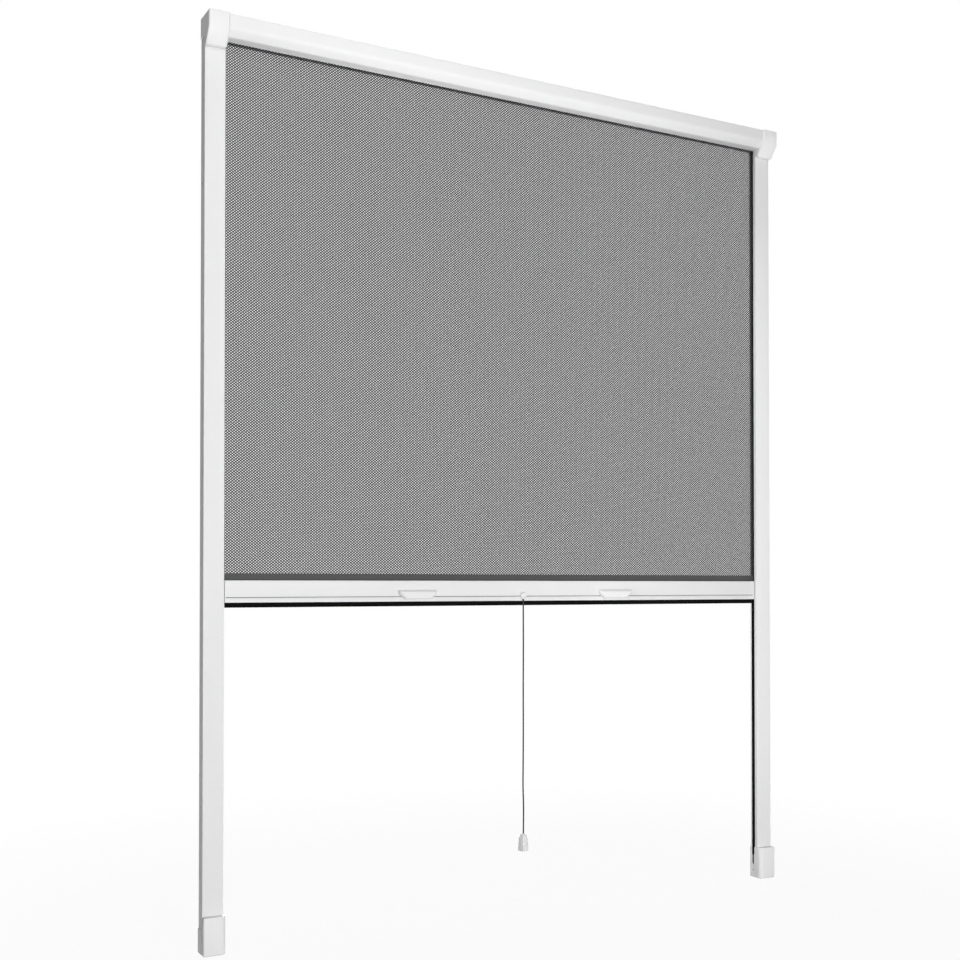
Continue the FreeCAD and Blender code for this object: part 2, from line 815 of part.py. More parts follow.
def bar_slot(half_mouth, half_wide, lip, deep, top):
    """A T-shaped slot about the net's plane, seen from its mouth: corners from rear to front."""
    return [
        (NET_Y + half_mouth, top),
        (NET_Y + half_mouth, lip),
        (NET_Y + half_wide, lip),
        (NET_Y + half_wide, deep),
        (NET_Y - half_wide, deep),
        (NET_Y - half_wide, lip),
        (NET_Y - half_mouth, lip),
        (NET_Y - half_mouth, top),
    ]


def bar_section():
    bottom = s.bar_bottom
    groove = bottom + s.bar_groove_height
    bead_lip = BAR_TOP - s.bar_wall
    bead_deep = bead_lip - s.bead_pocket_height
    outline = [
        (BAR_FRONT, bottom),
        (BAR_FRONT, groove - s.bar_groove_width),
        (BAR_FRONT + s.bar_groove_depth, groove - s.bar_groove_width),
        (BAR_FRONT + s.bar_groove_depth, groove),
        (BAR_FRONT, groove),
        (BAR_FRONT, BAR_TOP, s.bar_edge_radius),
    ]
    outline += bar_slot(s.bead_mouth / 2, s.bead_pocket_width / 2, bead_lip, bead_deep, BAR_TOP)[::-1]
    outline += [(BAR_REAR, BAR_TOP, s.bar_edge_radius), (BAR_REAR, bottom)]
    outline += bar_slot(
        s.groove_mouth / 2,
        s.groove_width / 2,
        bottom + s.groove_lip,
        bottom + s.groove_lip + s.groove_depth,
        bottom,
    )
    lower = box(
        BAR_FRONT + s.bar_groove_depth + s.bar_wall,
        BAR_REAR - s.bar_wall,
        bottom + s.groove_lip + s.groove_depth + s.bar_wall,
        bottom + s.bar_web_height,
    )
    upper = box(
        BAR_FRONT + s.bar_wall,
        BAR_REAR - s.bar_wall,
        bottom + s.bar_web_height + s.bar_wall,
        bead_deep - s.bar_wall,
    )
    return outline, lower, upper


def make_bar():
    bar = new_body("bottom_bar")
    pad(bar, "YZ", -BAR_END, BAR_END * 2, *bar_section())
    # the welded hem of the net, with the bead that sits in the bar's top slot
    hem = new_body("net_hem")
    bead_lip = BAR_TOP - s.bar_wall
    bead_top = bead_lip - s.bead_clearance
    bead_deep = bead_lip - s.bead_pocket_height + s.bead_clearance
    half_bead = s.bead_pocket_width / 2 - s.bead_clearance
    half_hem = s.hem_thickness / 2
    strip = box(NET_Y - half_hem, NET_Y + half_hem, BAR_TOP, BAR_TOP + s.hem_height)
    pad(hem, "YZ", -NET_EDGE, NET_EDGE * 2, strip)
    tail = [
        (NET_Y - half_bead, bead_deep),
        (NET_Y + half_bead, bead_deep),
        (NET_Y + half_bead, bead_top),
        (NET_Y + half_hem, bead_top),
        (NET_Y + half_hem, BAR_TOP),
        (NET_Y - half_hem, BAR_TOP),
        (NET_Y - half_hem, bead_top),
        (NET_Y - half_bead, bead_top),
    ]
    pad(hem, "YZ", -BAR_END, BAR_END * 2, tail)
    # the brush strip in the bar's lower slot
    brush = new_body("bar_brush")
    base = s.bar_bottom + s.groove_lip + s.groove_depth - s.brush_fit
    top = base - s.brush_backing
    half_backing = s.groove_width / 2 - s.brush_fit
    half_pile = s.bar_brush_width / 2
    outline = [
        (NET_Y - half_backing, base),
        (NET_Y - half_backing, top),
        (NET_Y - half_pile, top),
        (NET_Y - half_pile, s.bar_bottom - s.bar_brush_length),
        (NET_Y + half_pile, s.bar_bottom - s.bar_brush_length),
        (NET_Y + half_pile, top),
        (NET_Y + half_backing, top),
        (NET_Y + half_backing, base),
    ]
    pad(brush, "YZ", -BAR_END, BAR_END * 2, outline)


def make_shoe(side, label):
    """The end shoe: a plate over the bar's end, a plug in its chamber and the rail slider."""
    body = new_body(label)
    start, length = across(side, BAR_END, BAR_END + s.shoe_plate)
    plate = [
        (BAR_FRONT, s.bar_bottom),
        (BAR_REAR, s.bar_bottom),
        (BAR_REAR, BAR_TOP, s.bar_edge_radius),
        (BAR_FRONT, BAR_TOP, s.bar_edge_radius),
    ]
    pad(body, "YZ", start, length, plate)
    upper = box(
        BAR_FRONT + s.bar_wall + s.peg_clearance,
        BAR_REAR - s.bar_wall - s.peg_clearance,
        s.bar_bottom + s.bar_web_height + s.bar_wall + s.peg_clearance,
        BAR_TOP - s.bar_wall * 2 - s.bead_pocket_height - s.peg_clearance,
    )
    start, length = across(side, BAR_END - s.peg_length, BAR_END + s.shoe_plate / 2)
    pad(body, "YZ", start, length, upper)
    tongue = box(
        NET_Y - s.tongue_thickness / 2,
        NET_Y + s.tongue_thickness / 2,
        BAR_TOP - s.tongue_height,
        BAR_TOP - s.bar_edge_radius,
    )
    start, length = across(side, BAR_END + s.shoe_plate / 2, RAIL_INNER + s.tongue_reach)
    pad(body, "YZ", start, length, tongue)
    slider = box(
        NET_Y - s.slider_width / 2,
        NET_Y + s.slider_width / 2,
        BAR_TOP - s.tongue_height,
        BAR_TOP - s.bar_edge_radius,
    )
    start, length = across(
        side,
        RAIL_INNER + s.tongue_reach - s.tongue_thickness / 2,
        RAIL_INNER + s.tongue_reach + s.slider_length,
    )
    pad(body, "YZ", start, length, slider)


def make_grip(side, label):
    """A pull grip on the bar's face, narrower below, and open there for the finger tips."""
    body = new_body(label)
    centre = side * s.grip_offset
    low = s.bar_bottom + s.grip_rise
    high = low + s.grip_height
    front = BAR_FRONT - s.grip_depth
    half = s.grip_width / 2
    half_lip = s.grip_lip_width / 2
    outline = [
        (centre - half, high),
        (centre - half, high - s.grip_shoulder, s.grip_shoulder_radius),
        (centre - half_lip, low, s.grip_corner_radius),
        (centre + half_lip, low, s.grip_corner_radius),
        (centre + half, high - s.grip_shoulder, s.grip_shoulder_radius),
        (centre + half, high),
    ]
    pad(body, "XZ", -BAR_FRONT, s.grip_depth, outline)
    bevel_edges(
        body,
        s.grip_crown,
        lambda e: near(e.BoundBox.YMin, front) and near(e.BoundBox.YMax, front),
    )
    hollow = box(
        centre - half_lip + s.grip_wall,
        centre + half_lip - s.grip_wall,
        front + s.grip_crown,
        BAR_FRONT - s.grip_wall,
    )
    pocket(body, "XY", low - s.grip_wall, s.grip_height, hollow)


# Pull cord with its button and bell

CORD_TOP = s.bar_bottom + s.button_rise
# how far the bell hangs turned about the cord, in degrees
BELL_TURN = 14.0


def make_button():
    """A round button on the bar's face, with a short tab below for the cord."""
    body = new_body("cord_button")
    middle = CORD_TOP + s.button_tab_height + s.button_radius
    pad(body, "XZ", -BAR_FRONT, s.button_depth, (s.cord_offset, middle, s.button_radius))
    bevel_edges(
        body,
        s.button_crown,
        lambda e: near(e.BoundBox.YMax, BAR_FRONT - s.button_depth),
    )
    half = s.button_tab_width / 2
    tab = box(s.cord_offset - half, s.cord_offset + half, CORD_TOP, middle)
    pad(body, "XZ", -BAR_FRONT, s.button_depth - s.button_crown, tab)


def make_cord():
    cord = new_body("pull_cord")
    bell_top = CORD_TOP - s.cord_length
    pad(cord, "XY", bell_top, s.cord_length, (s.cord_offset, CORD_Y, s.cord_diameter / 2))
    # the bell is a four-sided pull that widens downwards
    bell = new_body("cord_bell")
    levels = [
        (bell_top - s.bell_height, s.bell_width),
        (bell_top - s.bell_shoulder_height, s.bell_shoulder_width),
        (bell_top - s.bell_neck_height, s.bell_neck_width),
        (bell_top, s.bell_top_width),
    ]
    for (low, low_side), (high, high_side) in zip(levels, levels[1:]):
        frustum(bell, s.cord_offset, CORD_Y, BELL_TURN, low, high, low_side, high_side)


make_cassette()
make_end_cap(-1, "left_end_cap", s.pin_radius + s.shaft_fit)
make_end_cap(1, "right_end_cap", s.pin_radius + s.bearing_clearance)
for side, name in ((-1, "left"), (1, "right")):
    make_rail(side, name + "_guide_rail")
    make_rail_brush(side, True, name + "_front_brush")
    make_rail_brush(side, False, name + "_rear_brush")
    make_foot(side, name + "_rail_foot")
make_net()
make_roller()
make_bar()
for side, name in ((-1, "left"), (1, "right")):
    make_shoe(side, name + "_bar_shoe")
    make_grip(side, name + "_grip")
make_button()
make_cord()

# Check every object, then write one file for each piece
doc.recompute()
for thing in doc.Objects:
    if "Invalid" in thing.State or "Error" in thing.State:
        raise RuntimeError("%s is %s" % (thing.Label, thing.State))
os.makedirs("parts", exist_ok=True)
for piece in parts:
    shape = piece.Shape
    if shape.isNull() or not shape.isValid():
        raise RuntimeError(piece.Label + " has no valid shape")
    shape.exportStep("parts/" + piece.Label + ".step")
    print("%-22s %d solid(s) %9.1f mm3" % (piece.Label, len(shape.Solids), shape.Volume))
cord_volume = doc.getObjectsByLabel("pull_cord")[0].Shape.Volume
straight_volume = math.pi * float(s.cord_diameter / 2) ** 2 * float(s.cord_length)
print("the cord hangs straight, with no bend: %.1f of %.1f mm3" % (cord_volume, straight_volume))
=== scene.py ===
# %% [markdown]
# A roller insect screen for a window. A white cassette hides a spring roller, two white rails
# stand below it on plastic feet, and a grey net hangs between them on a pull bar with two
# grips and a cord. The solids come from the frame at their real size. This file gives them
# their finish and adds what is too fine for a solid: the strands of the net, the bristles of
# the brushes, the twist of the cord and the coils of the spring.

# %% Load the frame
import math

import bmesh
import bpy
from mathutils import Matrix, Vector


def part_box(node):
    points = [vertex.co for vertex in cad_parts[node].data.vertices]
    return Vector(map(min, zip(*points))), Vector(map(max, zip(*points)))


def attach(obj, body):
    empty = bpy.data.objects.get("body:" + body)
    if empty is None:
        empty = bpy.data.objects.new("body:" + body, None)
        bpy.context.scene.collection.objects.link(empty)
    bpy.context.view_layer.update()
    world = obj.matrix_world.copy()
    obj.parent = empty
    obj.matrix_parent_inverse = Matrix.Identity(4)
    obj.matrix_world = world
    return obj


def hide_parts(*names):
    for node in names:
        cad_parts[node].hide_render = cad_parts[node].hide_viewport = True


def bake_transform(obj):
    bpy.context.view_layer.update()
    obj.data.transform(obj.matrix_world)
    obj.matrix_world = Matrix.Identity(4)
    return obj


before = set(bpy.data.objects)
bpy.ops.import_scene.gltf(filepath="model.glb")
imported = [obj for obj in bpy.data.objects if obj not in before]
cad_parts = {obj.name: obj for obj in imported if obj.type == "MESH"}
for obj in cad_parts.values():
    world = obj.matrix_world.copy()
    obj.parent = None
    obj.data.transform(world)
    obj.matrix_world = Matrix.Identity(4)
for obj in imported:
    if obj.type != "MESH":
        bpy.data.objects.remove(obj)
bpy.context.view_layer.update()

MM = 0.001
print("frame loaded with", len(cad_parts), "nodes")

# %% [markdown]
# The camera comes first, because everything else is judged through it. Its place, angle and
# lens were worked out from the corners of the screen in the photograph. The photograph was
# taken from the left, a little below the middle of the screen, with upright lines kept
# upright. A level camera with a vertical shift does that, as a view camera does.

# %% Camera
FRAME_PX = 960.0
FOCAL_PX = 1293.0
AXIS_Y_PX = 565.3        # where the lens axis meets the photograph, from its top
SENSOR_MM = 36.0
CAMERA_PLACE = (-1.265, -2.144, 0.626)
CAMERA_TURN = (math.radians(90.87), 0.0, math.radians(-28.71))

bpy.ops.object.camera_add(location=CAMERA_PLACE, rotation=CAMERA_TURN)
camera = bpy.context.object
camera.data.sensor_width = SENSOR_MM
camera.data.lens = SENSOR_MM * FOCAL_PX / FRAME_PX
camera.data.shift_y = (AXIS_Y_PX - FRAME_PX / 2) / FRAME_PX
bpy.context.scene.camera = camera
bpy.context.scene.view_settings.view_transform = "Standard"
print("lens", round(camera.data.lens, 2), "mm, shift", round(camera.data.shift_y, 4))

# %% [markdown]
# Most pieces start as a primitive and are shaped in edit mode. An operator works on whatever
# is selected, so each piece begins with an empty selection. A finished piece keeps its object
# at the origin and its place in its mesh, as the frame's own solids do.

# %% Modelling helpers
def only(piece):
    """Selects one object and nothing else."""
    bpy.ops.object.select_all(action="DESELECT")
    piece.select_set(True)
    bpy.context.view_layer.objects.active = piece
    return piece


def settle(piece, name, angle=35.0):
    """Applies the object's transform, names it and smooths its faces up to an angle."""
    only(piece)
    bpy.ops.object.transform_apply(location=True, rotation=True, scale=True)
    bpy.ops.object.shade_smooth_by_angle(angle=math.radians(angle))
    piece.name = name
    piece.data.name = name
    return piece


def box_piece(low, high):
    """A cube primitive that fills the space between two corners."""
    low = Vector(low)
    high = Vector(high)
    bpy.ops.object.select_all(action="DESELECT")
    bpy.ops.mesh.primitive_cube_add(size=1.0, location=(low + high) / 2)
    piece = bpy.context.object
    piece.scale = high - low
    bpy.ops.object.transform_apply(location=True, rotation=True, scale=True)
    return piece


def apply_modifier(piece, kind, **settings):
    """Adds a modifier with its settings and applies it."""
    only(piece)
    modifier = piece.modifiers.new(kind.title(), kind)
    for key, value in settings.items():
        setattr(modifier, key, value)
    bpy.ops.object.modifier_apply(modifier=modifier.name)


def pick(piece, wanted, kind="verts"):
    """In edit mode, selects the vertices, edges or faces for which wanted(element) is true."""
    bpy.ops.mesh.select_all(action="DESELECT")
    bpy.context.tool_settings.mesh_select_mode = (kind == "verts", kind == "edges", kind == "faces")
    mesh = bmesh.from_edit_mesh(piece.data)
    count = 0
    for element in getattr(mesh, kind):
        if wanted(element):
            element.select_set(True)
            count += 1
    mesh.select_flush_mode()
    bmesh.update_edit_mesh(piece.data)
    return count


def join(first, *others):
    """Joins objects into the first one."""
    bpy.ops.object.select_all(action="DESELECT")
    for piece in (first,) + others:
        piece.select_set(True)
    bpy.context.view_layer.objects.active = first
    bpy.ops.object.join()
    return first


# %% [markdown]
# The pull cord is a dark twisted cord, 451 mm long, with a white bell at its end. It hangs
# from the button on the bar and the bell's weight keeps it nearly straight. The photograph
# shows it wander by a millimetre or two, as cord does that was wound up before. Its line is a
# smooth curve through a few points, and three strands wind round that line.

# %% Pull cord
BUTTON_LOW, BUTTON_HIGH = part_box("cord_button")
CORD_LOW, CORD_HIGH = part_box("pull_cord")
BELL_LOW, BELL_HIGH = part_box("cord_bell")
CORD_X = (CORD_LOW.x + CORD_HIGH.x) / 2
CORD_Y = (CORD_LOW.y + CORD_HIGH.y) / 2
CORD_DIAMETER = CORD_HIGH.x - CORD_LOW.x
CORD_LENGTH = CORD_HIGH.z - CORD_LOW.z
# how far down the cord each point is, and how far to the side it hangs there
CORD_WANDER = [
    (0.0, 0.0),
    (0.08, 0.1),
    (0.22, 0.3),
    (0.38, -0.2),
    (0.55, 0.1),
    (0.70, -0.3),
    (0.80, -0.9),
    (0.88, 0.6),
    (0.95, 0.4),
    (1.0, 0.0),
]

curve = bpy.data.curves.new("pull_cord_line", "CURVE")
curve.dimensions = "3D"
curve.resolution_u = 12
spline = curve.splines.new("NURBS")
spline.points.add(len(CORD_WANDER) - 1)
for point, (down, aside) in zip(spline.points, CORD_WANDER):
    point.co = (CORD_X + aside * MM, CORD_Y, CORD_HIGH.z - down * CORD_LENGTH, 1.0)
spline.order_u = 3
spline.use_endpoint_u = True
line_object = bpy.data.objects.new("pull_cord_line", curve)
bpy.context.scene.collection.objects.link(line_object)
bpy.context.view_layer.update()
line_mesh = bpy.data.meshes.new_from_object(line_object)
cord_path = [v.co.copy() for v in line_mesh.vertices]
bpy.data.objects.remove(line_object)
print("cord line has", len(cord_path), "points")

# %% Strands of the cord
STRANDS = 3
STRAND_RADIUS = CORD_DIAMETER * 0.29
LAY_LENGTH = 9.0 * MM    # one full turn of the twist
STEP = 1.0 * MM
STRAND_SIDES = 8


def along(path, step):
    """Points of a path a step apart, each with its distance along the path."""
    found = [(0.0, path[0])]
    travelled = 0.0
    for start, end in zip(path, path[1:]):
        run = (end - start).length
        while found[-1][0] + step < travelled + run:
            distance = found[-1][0] + step
            found.append((distance, start.lerp(end, (distance - travelled) / run)))
        travelled += run
    found.append((travelled, path[-1]))
    return found


def twisted(path, strand):
    """The line of one strand: a helix round the path."""
    off_centre = CORD_DIAMETER / 2 - STRAND_RADIUS
    points = []
    for distance, centre in along(path, STEP):
        turn = math.tau * (distance / LAY_LENGTH + strand / STRANDS)
        points.append(centre + Vector((math.cos(turn), math.sin(turn), 0.0)) * off_centre)
    return points


def tube(points, radius, sides, name):
    """A round closed tube along points, made from a curve with a bevel."""
    data = bpy.data.curves.new(name, "CURVE")
    data.dimensions = "3D"
    data.bevel_depth = radius
    data.bevel_resolution = sides // 4
    data.use_fill_caps = True
    run = data.splines.new("POLY")
    run.points.add(len(points) - 1)
    for target, point in zip(run.points, points):
        target.co = (point.x, point.y, point.z, 1.0)
    thing = bpy.data.objects.new(name, data)
    bpy.context.scene.collection.objects.link(thing)
    only(thing)
    bpy.ops.object.convert(target="MESH")
    return bpy.context.object


strands = [tube(twisted(cord_path, i), STRAND_RADIUS, STRAND_SIDES, "strand") for i in range(STRANDS)]
pull_cord = settle(join(*strands), "pull_cord_twisted", 60.0)
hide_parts("pull_cord")
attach(pull_cord, "bar")
print("cord has", len(pull_cord.data.polygons), "faces")

# %% [markdown]
# A rigid solid arrives as loose triangles with knife-sharp edges. Real extrusions and
# mouldings have edges broken by a few tenths of a millimetre, and that thin line of light is
# what makes them look real. A copy of each solid is merged back into faces, its sharp edges
# are bevelled, and the copy stands for the solid.

# %% Finish of the rigid solids
MERGE = 0.002 * MM
FLAT_ANGLE = math.radians(0.6)
SHARP_ANGLE = math.radians(42.0)


def finished(node, edge, body, segments=2):
    """A copy of a rigid solid with merged faces and broken edges, which stands for it."""
    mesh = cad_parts[node].data.copy()
    piece = bpy.data.objects.new(node + "_finished", mesh)
    bpy.context.scene.collection.objects.link(piece)
    only(piece)
    bpy.ops.object.mode_set(mode="EDIT")
    bpy.ops.mesh.select_all(action="SELECT")
    bpy.ops.mesh.remove_doubles(threshold=MERGE)
    bpy.ops.mesh.dissolve_limited(angle_limit=FLAT_ANGLE)
    if edge:
        bpy.ops.mesh.select_all(action="DESELECT")
        bpy.context.tool_settings.mesh_select_mode = (False, True, False)
        bpy.ops.mesh.edges_select_sharp(sharpness=SHARP_ANGLE)
        bpy.ops.mesh.bevel(offset=edge, segments=segments, profile=0.5, clamp_overlap=True)
    bpy.ops.object.mode_set(mode="OBJECT")
    settle(piece, node + "_finished")
    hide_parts(node)
    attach(piece, body)
    return piece


EXTRUSION_EDGE = 0.25 * MM
MOULDING_EDGE = 0.4 * MM
GRIP_EDGE = 0.9 * MM
aluminium = [
    finished("cassette_profile", EXTRUSION_EDGE, "frame"),
    finished("left_guide_rail", EXTRUSION_EDGE, "frame"),
    finished("right_guide_rail", EXTRUSION_EDGE, "frame"),
    finished("bottom_bar", EXTRUSION_EDGE, "bar"),
]
plastic = [
    finished("left_end_cap", MOULDING_EDGE, "frame"),
    finished("right_end_cap", MOULDING_EDGE, "frame"),
    finished("left_rail_foot", MOULDING_EDGE, "frame"),
    finished("right_rail_foot", MOULDING_EDGE, "frame"),
    finished("left_bar_shoe", MOULDING_EDGE, "bar"),
    finished("right_bar_shoe", MOULDING_EDGE, "bar"),
    finished("left_grip", GRIP_EDGE, "bar", 3),
    finished("right_grip", GRIP_EDGE, "bar", 3),
    finished("cord_button", GRIP_EDGE, "bar", 3),
    finished("cord_bell", GRIP_EDGE, "bar", 3),
]
print("finished", len(aluminium) + len(plastic), "rigid pieces")

# %% [markdown]
# The net is a woven fly screen on the diagonal: two families of straight strands cross and
# leave diamond holes. A strand is one long thin prism, so real strands cost little and stay
# sharp close up, where a picture of a net would blur. The net hangs from the roller and
# follows the bar, so each point moves by its share of the bar's travel. The share has to grow
# evenly from the roller to the bar, and one blend over the whole height grows it as an S. So
# the net is cut into three bands across, and for each band the start and length of the part
# of the S it needs are worked out.

# %% Strands of the net
HEM_LOW, HEM_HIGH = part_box("net_hem")
NET_LOW, NET_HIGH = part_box("net")
NET_Y = (NET_LOW.y + NET_HIGH.y) / 2
NET_TOP = NET_HIGH.z - 8.0 * MM
COLUMN_PITCH = 2.95 * MM
ROW_PITCH = 2.37 * MM
STRAND_SHARE = 0.49      # of each family's spacing that the strand covers
STRAND_DEPTH = 0.24 * MM


def clipped(points, inside, crossing):
    """A convex outline cut by one straight side."""
    kept = []
    for i, here in enumerate(points):
        before = points[i - 1]
        if inside(here) != inside(before):
            kept.append(crossing(before, here))
        if inside(here):
            kept.append(here)
    return kept


def inside_band(points, low, high):
    """A convex outline in X and Z cut to the rectangle between two corners."""
    for axis, limit, sign in ((0, low[0], 1), (0, high[0], -1), (1, low[1], 1), (1, high[1], -1)):
        points = clipped(
            points,
            lambda p: sign * (p[axis] - limit) >= 0,
            lambda p, q: tuple(
                limit if i == axis else p[i] + (q[i] - p[i]) * (limit - p[axis]) / (q[axis] - p[axis])
                for i in (0, 1)
            ),
        )
        if len(points) < 3:
            return []
    return points


def net_band(name, bottom, top):
    """All strands of the net between two heights, as one mesh."""
    mesh = bmesh.new()
    low = (NET_LOW.x, bottom)
    high = (NET_HIGH.x, top)
    reach = NET_HIGH.x / COLUMN_PITCH
    half = STRAND_SHARE
    for slope in (1, -1):
        front = NET_Y - STRAND_DEPTH if slope > 0 else NET_Y
        ends = [bottom / ROW_PITCH, top / ROW_PITCH]
        first = int(math.floor((ends[0] - reach) / 2)) * 2 + 1
        last = int(math.ceil(ends[1] + reach))
        for line in range(first, last + 2, 2):
            outline = []
            for x, shift in ((low[0], -half), (high[0], -half), (high[0], half), (low[0], half)):
                outline.append((x, (line + shift + slope * x / COLUMN_PITCH) * ROW_PITCH))
            outline = inside_band(outline, low, high)
            if not outline:
                continue
            near = [mesh.verts.new((x, front, z)) for x, z in outline]
            far = [mesh.verts.new((x, front + STRAND_DEPTH, z)) for x, z in outline]
            mesh.faces.new(near)
            mesh.faces.new(far[::-1])
            for i in range(len(outline)):
                mesh.faces.new((near[i - 1], far[i - 1], far[i], near[i]))
    bmesh.ops.recalc_face_normals(mesh, faces=mesh.faces)
    data = bpy.data.meshes.new(name)
    mesh.to_mesh(data)
    mesh.free()
    piece = bpy.data.objects.new(name, data)
    bpy.context.scene.collection.objects.link(piece)
    return piece


# %% The three bands
def s_curve_at(share):
    """Where along the S of a blend its weight reaches a share."""
    low, high = 0.0, 1.0
    for _ in range(40):
        middle = (low + high) / 2
        if middle * middle * (3 - 2 * middle) < share:
            low = middle
        else:
            high = middle
    return (low + high) / 2


BAND_SHARES = (0.0, 0.1, 0.9, 1.0)
NET_BOTTOM = HEM_HIGH.z
net_bands = []
for name, upper, lower in zip(("net_upper", "net_middle", "net_lower"), BAND_SHARES, BAND_SHARES[1:]):
    top = NET_TOP + (NET_BOTTOM - NET_TOP) * upper
    bottom = NET_TOP + (NET_BOTTOM - NET_TOP) * lower
    band = net_band(name, bottom, top)
    # where the S would start, and how long it would be, for the band to take only its own part of it
    at_top = s_curve_at(upper)
    at_bottom = s_curve_at(lower)
    length = (top - bottom) / (at_bottom - at_top)
    start = top + at_top * length
    start - length
    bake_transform(band)
    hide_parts("net")
    net_bands.append(band)
    print(name, len(band.data.polygons), "faces")

# %% [markdown]
# Four brush strips close the rails against the net and a fifth seals the bar against the
# sill. Each is a flat backing with a dense pile. One bristle tuft is modelled, arrays repeat
# it across and along the strip, and a seeded random move of the tips makes the pile uneven.
# In a rail the pile stands out past the lips that hold the backing. There it spreads as far
# as the rail's face, and its tips touch the net.

# %% Brush strips
TUFT_PITCH = 1.15 * MM
TUFT_TAPER = 0.7
TIP_SCATTER = 0.35 * MM
BACKING = 1.0 * MM
STEM_WIDTH = 4.0 * MM
TUFT_ROW = 1.33 * MM
LIP_HEIGHT = 2.3 * MM    # from the back of a rail's strip to the outside of the lips
PILE_SPREAD = 7.6 * MM   # how deep into the rail the pile spreads
FACE_GAP = 0.1 * MM
TIP_TO_NET = 0.05 * MM


def brush(node, body, along_axis, pile_axis, pile_end, seed, face=None):
    """A brush strip in the space of its solid; pile_end is 1 or -1, the way the pile points.

    face is the place of the rail's face, which the pile of a rail's strip spreads to.
    """
    low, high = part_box(node)
    side_axis = 3 - along_axis - pile_axis
    centre = (low[side_axis] + high[side_axis]) / 2
    stem = (centre - STEM_WIDTH / 2, centre + STEM_WIDTH / 2)
    root = low[pile_axis] if pile_end > 0 else high[pile_axis]
    tip = high[pile_axis] if pile_end > 0 else low[pile_axis]
    tuft_root = root + pile_end * BACKING / 2
    pile = stem
    if face is not None:
        inward = 1 if centre > face else -1
        pile = sorted((face + inward * FACE_GAP, face + inward * PILE_SPREAD))
        tip = NET_Y - pile_end * (STRAND_DEPTH + TIP_TO_NET)
        tuft_root = root + pile_end * LIP_HEIGHT
    back_low = list(low)
    back_high = list(high)
    if pile_end > 0:
        back_high[pile_axis] = root + BACKING
    else:
        back_low[pile_axis] = root - BACKING
    backing = box_piece(back_low, back_high)
    if face is not None:
        neck_low = list(back_low)
        neck_high = list(back_high)
        neck_low[side_axis], neck_high[side_axis] = stem
        neck_low[pile_axis], neck_high[pile_axis] = sorted((root + pile_end * BACKING, tuft_root))
        backing = join(backing, box_piece(neck_low, neck_high))
    rows = round((pile[1] - pile[0]) / TUFT_ROW)
    row_pitch = (pile[1] - pile[0]) / rows
    count = int((high[along_axis] - low[along_axis]) / TUFT_PITCH)
    pitch = (high[along_axis] - low[along_axis]) / count
    tuft_low = [0.0, 0.0, 0.0]
    tuft_high = [0.0, 0.0, 0.0]
    tuft_low[along_axis] = low[along_axis] + pitch * 0.04
    tuft_high[along_axis] = low[along_axis] + pitch * 0.96
    tuft_low[side_axis] = pile[0] + row_pitch * 0.04
    tuft_high[side_axis] = pile[0] + row_pitch * 0.96
    shorter = tip - pile_end * TIP_SCATTER
    tuft_low[pile_axis] = min(tuft_root, shorter)
    tuft_high[pile_axis] = max(tuft_root, shorter)
    tuft = box_piece(tuft_low, tuft_high)
    bpy.ops.object.mode_set(mode="EDIT")
    pick(tuft, lambda f: f.normal[pile_axis] * pile_end < -0.5, "faces")
    bpy.ops.mesh.delete(type="ONLY_FACE")
    pick(tuft, lambda v: abs(v.co[pile_axis] - shorter) < MERGE)
    middle = [(tuft_low[i] + tuft_high[i]) / 2 for i in range(3)]
    narrow = [TUFT_TAPER] * 3
    narrow[pile_axis] = 1.0
    bpy.ops.transform.resize(value=narrow, center_override=middle)
    bpy.ops.object.mode_set(mode="OBJECT")
    for axis, number, step in ((side_axis, rows, row_pitch), (along_axis, count, pitch)):
        offset = [0.0, 0.0, 0.0]
        offset[axis] = step
        apply_modifier(
            tuft,
            "ARRAY",
            count=number,
            use_relative_offset=False,
            use_constant_offset=True,
            constant_offset_displace=offset,
        )
    only(tuft)
    bpy.ops.object.mode_set(mode="EDIT")
    pick(tuft, lambda v: abs(v.co[pile_axis] - shorter) < MERGE)
    bpy.ops.transform.vertex_random(offset=TIP_SCATTER, uniform=0.0, normal=0.0, seed=seed)
    bpy.ops.object.mode_set(mode="OBJECT")
    piece = settle(join(backing, tuft), node + "_bristles", 30.0)
    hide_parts(node)
    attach(piece, body)
    print(piece.name, len(piece.data.polygons), "faces")
    return piece


LEFT_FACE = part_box("left_guide_rail")[1].x
RIGHT_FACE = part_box("right_guide_rail")[0].x
brushes = [
    brush("left_front_brush", "frame", 2, 1, 1, 11, LEFT_FACE),
    brush("left_rear_brush", "frame", 2, 1, -1, 12, LEFT_FACE),
    brush("right_front_brush", "frame", 2, 1, 1, 13, RIGHT_FACE),
    brush("right_rear_brush", "frame", 2, 1, -1, 14, RIGHT_FACE),
    brush("bar_brush", "bar", 0, 2, -1, 15),
]

# %% [markdown]
# Materials are node trees, and their sums are easier to read as Python. The class Value wraps
# a socket, so that adding or multiplying two of them adds the Math node for it. Any other
# node comes from the Finish method node, which takes the node's type, settings and sockets.

# %% Material helpers
class Value:
    """A number that changes over the surface, as the output of a node."""

    def __init__(self, finish, socket):
        self.finish = finish
        self.socket = socket

    def math(self, operation, first, second):
        return self.finish.node("ShaderNodeMath", {"operation": operation}, {0: first, 1: second})

    def __add__(self, other):
        return self.math("ADD", self, other)

    __radd__ = __add__

    def __sub__(self, other):
        return self.math("SUBTRACT", self, other)

    def __rsub__(self, other):
        return self.math("SUBTRACT", other, self)

    def __mul__(self, other):
        return self.math("MULTIPLY", self, other)

    __rmul__ = __mul__

    def __truediv__(self, other):
        return self.math("DIVIDE", self, other)

    def __gt__(self, other):
        return self.math("GREATER_THAN", self, other)

    def __lt__(self, other):
        return self.math("LESS_THAN", self, other)


